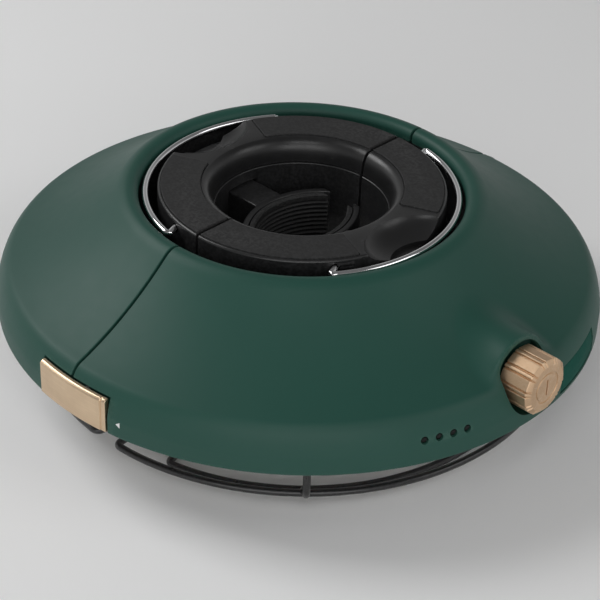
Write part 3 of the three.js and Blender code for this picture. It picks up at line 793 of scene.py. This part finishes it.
def cap():
    """The top ring, with a finger scoop that has a small step, and two clip ridges on its side."""
    body = half_ring(cap_profile(), 90, edge=0.3)
    scoop_wall = kept(ellipsoid(SCOOP, (20, 25, 11.1)),
                      sector(39, CAP_R, -60, 60, 64, CAP_TOP - 0.5, 60))
    ridges = [sector(CAP_R - 0.5, CAP_R + 1.3, -33, -26.5, z, z + 0.7, 8) for z in (78.7, 80.3)]
    body = joined(body, scoop_wall, *ridges)
    step = rod((69.6, 0, 74.6), (69.6, 0, 90), 15.9, 120)
    body = cut(body, ellipsoid(SCOOP, (17.6, 22.6, 8.7), 96, 64), step)
    for sign in (1, -1):
        body = cut(body, slab(pad_outline(0.3, sign), PAD_TOP - 1.5, 90, 0.1))
    for sign in (-1, 1):
        mouth = polar(BAIL_R, BAIL_MIDDLE + sign * BAIL_HALF, BAIL_Z)
        along = polar(1, BAIL_MIDDLE + pi / 2)
        body = cut(body, rod(mouth, mouth - along * sign * 12, BAIL_WIRE + 0.35, 32))
    return body


pair(cap, "cap_visual", ["cap"], "black_trim", angle=32)
for index, sign in ((1, -1), (2, 1)):
    pair(lambda s=sign: slab(pad_outline(0, s), PAD_TOP - 1.2, PAD_TOP, 0.35),
         f"cap_pad_{index}_visual", [f"cap_pad_{index}"], "pad")


# ---------------------------------------------------------------- bails
def bail_path():
    """An arc in the groove, whose ends turn in along the pivot axis."""
    start = BAIL_MIDDLE - BAIL_HALF
    arc = [polar(BAIL_R, start + 2 * BAIL_HALF * i / 90, BAIL_Z) for i in range(91)]
    along = (arc[-1] - arc[0]).normalized()
    first = [arc[0] + along * d for d in (9.5, 5.0, 0.9)]
    last = [arc[-1] - along * d for d in (0.9, 5.0, 9.5)]
    return first + arc[1:-1] + last


pair(lambda: tube(bail_path(), BAIL_WIRE, 20), "bail_visual", ["bail"], "chrome", body="bail", angle=50)


# ---------------------------------------------------------------- sleeve, tray, light board, diffuser, bezel
def sleeve():
    outer, top = BORE_R + 2, 71.9
    profile = rounded([(BORE_R, BEZEL_BOTTOM), (44.5, BEZEL_BOTTOM, 0.4), (44.5, BEZEL_TOP),
                       (outer, BEZEL_TOP, 0.8), (outer, top, 0.3), (BORE_R, top, 0.5)], 3)
    body = half_ring([tuple(p) for p in profile], 72, edge=0.25)
    return cut(body, block(20, 50, -8.05, 8.05, 49.4, 67))


def tray():
    body = half_ring([(39, 46), (69.6, 46), (69.6, 48.5), (39, 48.5)], 72)
    spring_post = block(56.2, 58.4, -6, 6, 47.5, 63.6)
    near, far = 7.95, 9.55
    rails = block(42, 55.5, near, far, 47.5, 56), block(42, 55.5, -far, -near, 47.5, 56)
    return joined(body, spring_post, *rails)


def diffuser():
    points = [(45.2, 31.5), (46, 30)] + curve((46, 30), (75, 20), (102.5, 30), 24)
    points += [(103.5, 31.5), (109.8, 31.5), (109.8, 33), (103, 33)]
    points += curve((103, 33), (75, 22.5), (46.5, 33), 24) + [(41.5, 33), (41.5, 31.5)]
    return half_ring(points, 72, edge=0.2)


def bezel(side):
    profile = rounded([(104.2, BEZEL_BOTTOM, 0.5), (122.4, BEZEL_BOTTOM, 0.6),
                       (122.4, BEZEL_TOP), (104.2, BEZEL_TOP)], 3)
    body = half_ring([tuple(p) for p in profile], 90, edge=0.2)
    for angle in SCREWS:
        body = cut(body, rod(polar(SCREW_CIRCLE, angle, 28), polar(SCREW_CIRCLE, angle, 33), 1.75, 24))
    if side < 0:
        turned_back(body)
    return cut(body, *hinge_gap())


pair(sleeve, "sleeve_visual", ["sleeve"], "black_trim")
pair(tray, "tray_visual", ["tray"], "black_trim")
pair(diffuser, "diffuser_visual", ["diffuser"], "diffuser")
placed(bezel(1), "front_bezel_visual", "front_half", "black_trim", ["front_bezel"])
placed(bezel(-1), "rear_bezel_visual", "rear_half", "black_trim", ["rear_bezel"])
pair(lambda: half_ring([(40, 35.5), (109.5, 35.5), (109.5, 37.1), (40, 37.1)], 72),
     "light_board_visual", ["light_board"], "light_board")


def screw(angle):
    """A screw from below, with a hexagonal socket in its head."""
    shank = [(0.01, 41.5), (1.45, 41.2), (1.45, 29)]
    head = [(2.8, 29), (2.8, 28.1), (2.6, 27.75), (2.2, 27.5), (0.01, 27.5)]
    body = spun(shank + head, polar(SCREW_CIRCLE, angle), (0, 0, 1), 32)
    return cut(body, rod(polar(SCREW_CIRCLE, angle, 27), polar(SCREW_CIRCLE, angle, 28.4), 1.15, 6))


for index, angle in enumerate(SCREWS, 1):
    pair(lambda a=angle: screw(a), f"screw_{index}_visual", [f"screw_{index}"], "steel", angle=30)


# ---------------------------------------------------------------- wire guard
def guard_ring(radius, z, end):
    """A wire arc up to end degrees each way, whose ends turn inward."""
    turn = radians(end)
    arc = [polar(radius, -turn + 2 * turn * i / 80, z) for i in range(81)]
    inward = [(*polar(radius - 6.5, -turn, z),), (*polar(radius, -turn, z), 2.6), (*arc[2],)]
    first = rounded(inward, 6, closed=False, size=3)
    last = [Vector((p.x, -p.y, p.z)) for p in first][::-1]
    return tube(first[:-1] + arc[2:-2] + last[1:], GUARD_WIRE)


def guard_rib(angle):
    """A wire from the lower ring past the upper one to a foot on the bezel, as a smooth curve."""
    foot = (GUARD_FOOT_R, 28.3)
    points = [(GUARD_LOW_R, GUARD_WIRE), (GUARD_HIGH_R, GUARD_HIGH_Z), (GUARD_FOOT_R, 15), foot]
    path = []
    for i in range(len(points) - 1):
        p0, p1, p2, p3 = (Vector(points[max(min(i + k, 3), 0)]) for k in (-1, 0, 1, 2))
        for j in range(8):
            t = j / 8
            q = 0.5 * ((2 * p1) + (p2 - p0) * t + (2 * p0 - 5 * p1 + 4 * p2 - p3) * t ** 2
                       + (3 * p1 - p0 - 3 * p2 + p3) * t ** 3)
            path.append(polar(q.x, angle, q.y))
    path.append(polar(foot[0], angle, foot[1]))
    pad = spun([(2.2, 27.6), (2.9, 27.9), (3, 28.3), (3, 29)], polar(GUARD_FOOT_R, angle), (0, 0, 1), 28)
    return joined(tube(path, GUARD_WIRE), pad)


def guard():
    body = joined(guard_ring(GUARD_HIGH_R, GUARD_HIGH_Z, 87), guard_ring(GUARD_LOW_R, GUARD_WIRE, 77.5))
    for angle in (-44, 44):
        body = joined(body, guard_rib(radians(angle)))
    return body


pair(guard, "guard_visual", ["guard"], "guard_wire", angle=50)


# ---------------------------------------------------------------- jaws
def jaw_arc(profile, half):
    """Turns a (radius, z) profile round the jaw's own centre, half degrees each way."""
    angles = [radians(a) for a in steps_between(-half, half, 2 * half / 40)]
    arc = swept([[polar(r, a, z) for r, z in profile] for a in angles])
    arc.data.transform(Matrix.Translation((JAW_CENTRE, 0, 0)))
    return arc


def rounded_window(half, bottom, top, corner):
    """A bar along X whose section is a rectangle with round corners, to trim an arc's tips."""
    corners = ((-half, bottom), (half, bottom), (half, top), (-half, top))
    outline = rounded([(*p, corner) for p in corners], 6)
    return swept([[Vector((x, p[0], p[1])) for p in outline] for x in (-80, 80)])


def jaw():
    """A curved plate, and the arm behind it with a blind hole for the spring."""
    profile = rounded([(32.4, JAW_BOTTOM, 0.6), (35, JAW_BOTTOM, 0.6), (35, JAW_TOP, 0.7),
                       (32.4, JAW_TOP, 0.7)], 3)
    plate = kept(jaw_arc([tuple(p) for p in profile], 48),
                 rounded_window(25.9, JAW_BOTTOM, JAW_TOP, 3.0))
    arm = bevelled(block(19.2, 42, -7.25, 7.25, 50, JAW_TOP), 0.7, 3)
    arm = cut(arm, rod((25, 0, JAW_SPRING_Z), (50, 0, JAW_SPRING_Z), 4.8, 32))
    return joined(plate, arm)


def jaw_pad():
    """The rubber on a jaw, with a row of rounded ribs across its face."""
    points = [(30.6, 42), (32.1, 42), (32.1, 65.5), (31.9, 65.9), (30.4, 65.9), (29.9, 65.4), (29.9, 63.4)]
    ribs, top, bottom = 10, 63.0, 42.4
    pitch = (top - bottom) / ribs
    for i in range(ribs):
        base = top - pitch * i
        for a in (0, 30, 60, 90, 120, 150):
            points.append((30.9 - 1.4 * sin(radians(a)), base - pitch * 0.42 * (1 - cos(radians(a)))))
        points.append((30.9, base - pitch * 0.86))
    return kept(jaw_arc(points, 46.5), rounded_window(22.9, 41.8, 66.1, 2.6))


def jaw_spring():
    start = 26
    return coil(Vector((start, 0, JAW_SPRING_Z)), Vector((1, 0, 0)), Vector((0, 1, 0)), 3.6, 0.55, 5,
                JAW_SPRING_END - start)


pair(jaw, "jaw_visual", ["jaw"], "black_trim", body="jaw")
pair(jaw_pad, "jaw_pad_visual", ["jaw_pad"], "rubber", body="jaw", angle=40)
springs = pair(jaw_spring, "jaw_spring_visual", ["jaw_spring"], "steel", angle=50)
for side, sign, spring in (("front", 1, springs[0]), ("rear", -1, springs[1])):
    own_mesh(spring)


# ---------------------------------------------------------------- latch
def pin(at, bottom, top, radius, sides=20, edge=0.0):
    """An upright rod at a place (x, y)."""
    return rod((*at, bottom), (*at, top), radius, sides, edge)


def latch_plate():
    """The press plate: a bevel along its top, and a groove and a step near its front end."""
    start, end = -17.0, 20.0

    def lift(u, v):
        d = end - u
        groove = max(0.0, 1 - abs(d - 2.3) / 0.5)
        step = 0.25 if d < 1.75 else 0
        bevel = v - (LATCH_TOP - 1.1)
        return -0.6 * groove * groove * (3 - 2 * groove) - max(step, bevel, 0)

    body = curved_plate(start, end, 31.9, LATCH_TOP, 2.4, 0.3, lift, RIM_R + 0.6, 0.35, -pi / 2)
    knuckle = pin(LATCH_PIVOT, 36, 43, 2.3, 28)
    web = block(LATCH_PIVOT[0] - 1.6, LATCH_PIVOT[0] + 1.6, -123.6, LATCH_PIVOT[1], 36, 43)
    nose = block(-13.5, -11.5, -123.6, -120.9, 37, 42)
    return cut(joined(body, knuckle, web, nose), pin(LATCH_PIVOT, 30, 50, 1.2))


def latch_spring():
    return coil(LATCH_SPRING_AT, Vector((0, -1, 0)), Vector((1, 0, 0)), 1.8, 0.3, 3, 3.2)


placed(latch_plate(), "latch_plate_visual", "latch", "brass", ["latch_plate"], angle=30)
placed(pin(LATCH_PIVOT, 33.1, 46.2, 0.9, edge=0.2), "latch_pin_visual", "front_half", "steel", ["latch_pin"])
placed(pin(CATCH_PIN, 34.2, 44.8, 1, edge=0.2), "catch_pin_visual", "rear_half", "steel", ["catch_pin"])
spring = placed(latch_spring(), "latch_spring_visual", "front_half", "steel", ["latch_spring"], angle=50)
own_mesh(spring)


# ---------------------------------------------------------------- hinge
def hinge_leaf(front):
    """One leaf with its knuckle: the front one is the lower, the rear one the upper."""
    split = 39.35 if front else 39.65

    def plate(x0, x1, z0, z1):
        return block(x0, x1, HINGE_Y - 2.6, HINGE_Y + 0.2, z0, z1)

    if front:
        body = joined(pin((0, HINGE_Y), HINGE_BOTTOM, split, 5.6, 48, 0.4), plate(3, 16, HINGE_BOTTOM, split))
    else:
        body = joined(pin((0, HINGE_Y), split, HINGE_TOP, 5.6, 48, 0.4),
                      plate(-16, -3, split, 41), plate(-16, -7.2, HINGE_BOTTOM, 41))
    return cut(body, pin((0, HINGE_Y), 20, 60, HINGE_PIN + 0.3, 24))


placed(hinge_leaf(True), "front_hinge_leaf_visual", "front_half", "steel", ["front_hinge_leaf"])
placed(hinge_leaf(False), "rear_hinge_leaf_visual", "rear_half", "steel", ["rear_hinge_leaf"])
placed(pin((0, HINGE_Y), HINGE_BOTTOM - 0.2, HINGE_TOP + 0.4, HINGE_PIN, 24, 0.3),
       "hinge_pin_visual", "front_half", "steel", ["hinge_pin"])


# ---------------------------------------------------------------- knob
def knob_radius(angle):
    """The fluted outline: a wide facet, a groove, a narrow rib and a groove in each lobe."""
    facet, groove, rib = 4.6, 0.72, 1.5  # millimetres round the rim
    lobe = facet + 2 * groove + rib
    t = ((angle / (2 * pi / KNOB_LOBES)) % 1.0) * lobe
    if t < facet:
        x = t * 2 / facet - 1
        return KNOB_R - 0.34 + 0.2 * x * x - 0.2 * max(abs(x) - 0.9, 0) / 0.1
    t -= facet
    if t < groove or t > groove + rib:
        x = min(t, lobe - facet - t) / groove
        return KNOB_R - 0.95 + 0.4 * (2 * x - 1) ** 2
    x = (t - groove) / rib * 2 - 1
    return KNOB_R - 0.28 * x ** 4


def knob():
    """The fluted side, a bevel, and a flat face with an engraved ring and a plain line."""
    sides = 400
    side = Vector((0, 1, 0))
    up = KNOB_AXIS.cross(side)
    # Each row of the side has its place, how far it is drawn in, and how much it follows the flutes.
    stations = [(-1.7, 0.4, 1), (-1.5, 0.1, 1), (-1.2, 0, 1), (3, 0, 1), (11.1, 0, 1), (11.3, 0.1, 1),
                (11.5, 0.3, 1), (12.35, 1.45, 0.9), (12.52, 1.75, 0.8), (KNOB_FACE, 2.1, 0.6)]
    rows = []
    for s, sink, follow in stations:
        row = []
        for k in range(sides):
            a = 2 * pi * k / sides
            r = KNOB_R - sink - (KNOB_R - knob_radius(a)) * follow
            row.append(KNOB_AT + KNOB_AXIS * s + (side * cos(a) + up * sin(a)) * r)
        rows.append(row)
    face_rings = [(8.6, 0), (6.95, 0), (6.75, 0.1), (6.65, 0.35), (6.3, 0.4), (5.95, 0.35), (5.85, 0.1),
                  (5.65, 0), (3, 0), (0.4, 0)]
    rows += [circle(KNOB_AT + KNOB_AXIS * (KNOB_FACE - sink), side, up, r, sides) for r, sink in face_rings]
    body = swept(rows)
    mark = rounded([(-0.35, -3.6, 0.33), (0.35, -3.6, 0.33), (0.35, 3.6, 0.33), (-0.35, 3.6, 0.33)], 4)
    slot = swept([[KNOB_AT + KNOB_AXIS * s + side * p[0] + up * p[1] for p in mark]
                  for s in (KNOB_FACE - 0.38, 13)])
    return cut(body, slot, knob_rod(-6, 7.8, 3.3, 32))


placed(knob(), "knob_visual", "knob_turning", "brass", ["knob"], angle=14, material="brass_knob")
placed(knob_rod(-14, 7.4, 3, 40), "knob_spindle_visual", "knob_pushing", "steel", ["knob_spindle"])


# ---------------------------------------------------------------- port cover, level windows, arrow
def port_cover():
    half = radians(PORT_HALF) * RIM_R

    def lift(u, v):
        return skin_radius(v) - RIM_R - 0.2

    return curved_plate(-half, half, 33.5, 43.5, 2.2, 0.45, lift, RIM_R, 0.6, radians(PORT_MIDDLE))


def level_window(angle):
    profile = [(1.25, 0), (1.25, 4.1), (1.1, 4.45), (0.7, 4.57), (0.01, 4.6)]
    return spun(profile, polar(119.5, angle, LEVEL_Z), polar(1, angle), 32)


placed(port_cover(), "port_cover_visual", "port_flap", "green_rubber", ["port_cover"])
for index, angle in enumerate(LEVELS, 1):
    name = f"level_window_{index}"
    placed(level_window(angle), f"{name}_visual", "front_half", "window", [name])


def arrow():
    """A printed triangle that points along the rim at the latch."""
    centre, centre_z = radians(-78.3), 37.7
    outline = rounded([(-0.95, 0, 0.12), (0.95, -1.3, 0.12), (0.95, 1.3, 0.12)], 3)
    return swept([[polar(r, centre + p[0] / RIM_R, centre_z + p[1]) for p in outline]
                  for r in (RIM_R - 0.1, RIM_R + 0.03)])


placed(arrow(), "press_arrow", "front_half", "green_shell", material="white_ink")


# ---------------------------------------------------------------- cells and carried-over nodes
def cell(angle):
    """A battery cell that lies across the radius at the angle, with its raised contact at one end."""
    centre = polar(81, angle, 49.6)
    along = Vector((-sin(angle), cos(angle), 0))
    wrap = [(10.1, 0), (10.5, 0.4), (10.5, 67.6), (10.1, 68)]
    contact = [(9, 68), (8.8, 67.7), (3.2, 67.7), (3, 68), (3, 69)]
    return spun(wrap + contact, centre - along * 34.5, along, 48)


for index, angle in enumerate((135, 225), 1):
    name = f"battery_cell_{index}"
    placed(cell(radians(angle)), f"{name}_visual", "rear_half", "cell", [name])

CARRIED_OVER = {"battery_cradle": "black_trim", "control_board": "circuit_board", "charge_socket": "steel",
                "dimmer_switch": "black_trim"}
for node, material in CARRIED_OVER.items():
    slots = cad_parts[node].data.materials
    if not slots:
        slots.append(None)
    for i in range(len(slots)):
        slots[i] = MATERIALS[material]


# ---------------------------------------------------------------- stage, light and camera
def stage():
    """A pale paper floor, 12 metres square."""
    mesh = bpy.data.meshes.new("floor")
    mesh.from_pydata([(-6, -6, 0), (6, -6, 0), (6, 6, 0), (-6, 6, 0)], [], [(0, 1, 2, 3)])
    floor = bpy.data.objects.new("floor", mesh)
    bpy.context.scene.collection.objects.link(floor)
    paper = Nodes("floor_paper", Roughness=0.9)
    clouds = paper.ranged(paper.noise(3, 2), 0.3, 0.7, 0, 1)
    mesh.materials.append(paper.finish(paper.mixed(clouds, (0.92, 0.92, 0.92), (0.95, 0.95, 0.95))))


def sky():
    """A studio that is bright round the horizon and dim overhead."""
    world = bpy.data.worlds.new("studio")
    world.use_nodes = True
    tree = world.node_tree
    place = tree.nodes.new("ShaderNodeTexCoord")
    split = tree.nodes.new("ShaderNodeSeparateXYZ")
    height = tree.nodes.new("ShaderNodeMapRange")
    for key, number in (("From Min", 0.12), ("From Max", 0.65), ("To Min", 0.58), ("To Max", 0.13)):
        height.inputs[key].default_value = number
    tree.links.new(place.outputs["Generated"], split.inputs[0])
    tree.links.new(split.outputs["Z"], height.inputs["Value"])
    tree.links.new(height.outputs["Result"], tree.nodes["Background"].inputs["Strength"])
    tree.nodes["Background"].inputs["Color"].default_value = (1, 1, 1, 1)
    bpy.context.scene.world = world


def area_light(name, position, size, power):
    """A white soft box aimed at the lantern."""
    data = bpy.data.lights.new(name, "AREA")
    data.shape, data.size, data.size_y = "RECTANGLE", *size
    data.energy = power
    light = bpy.data.objects.new(name, data)
    bpy.context.scene.collection.objects.link(light)
    light.location = position
    light.rotation_mode = "QUATERNION"
    light.rotation_quaternion = (Vector((0, 0, 0.03)) - Vector(position)).to_track_quat("-Z", "Y")


def camera():
    """The camera, 0.78 metres from the middle of the lantern and a little rolled."""
    data = bpy.data.cameras.new("camera")
    data.lens, data.sensor_width = 110.9, 36
    data.clip_start, data.clip_end = 0.01, 30
    cam = bpy.data.objects.new("camera", data)
    bpy.context.scene.collection.objects.link(cam)
    azimuth, elevation, distance = radians(43.2), radians(33.56), 0.7805
    target = Vector((AXIS_X + 0.00047, 0.00044, 0.0255))
    back = Vector((sin(azimuth) * cos(elevation), -cos(azimuth) * cos(elevation), sin(elevation)))
    cam.location = target + back * distance
    cam.rotation_mode = "QUATERNION"
    roll = Matrix.Rotation(radians(2.05), 3, "Z").to_quaternion()
    cam.rotation_quaternion = (-back).to_track_quat("-Z", "Y") @ roll
    bpy.context.scene.camera = cam


stage()
sky()
bpy.context.scene.view_settings.view_transform = "Standard"
area_light("key_left", (-1.0, -0.4, 1.0), (0.7, 0.7), 9)
area_light("front_low", (0.9, -1.0, 0.5), (1.5, 0.5), 4.5)
area_light("over_camera", (0.55, -0.6, 0.95), (0.6, 0.3), 1.5)
area_light("right", (1.1, 0.5, 0.9), (0.8, 0.6), 2.5)
camera()
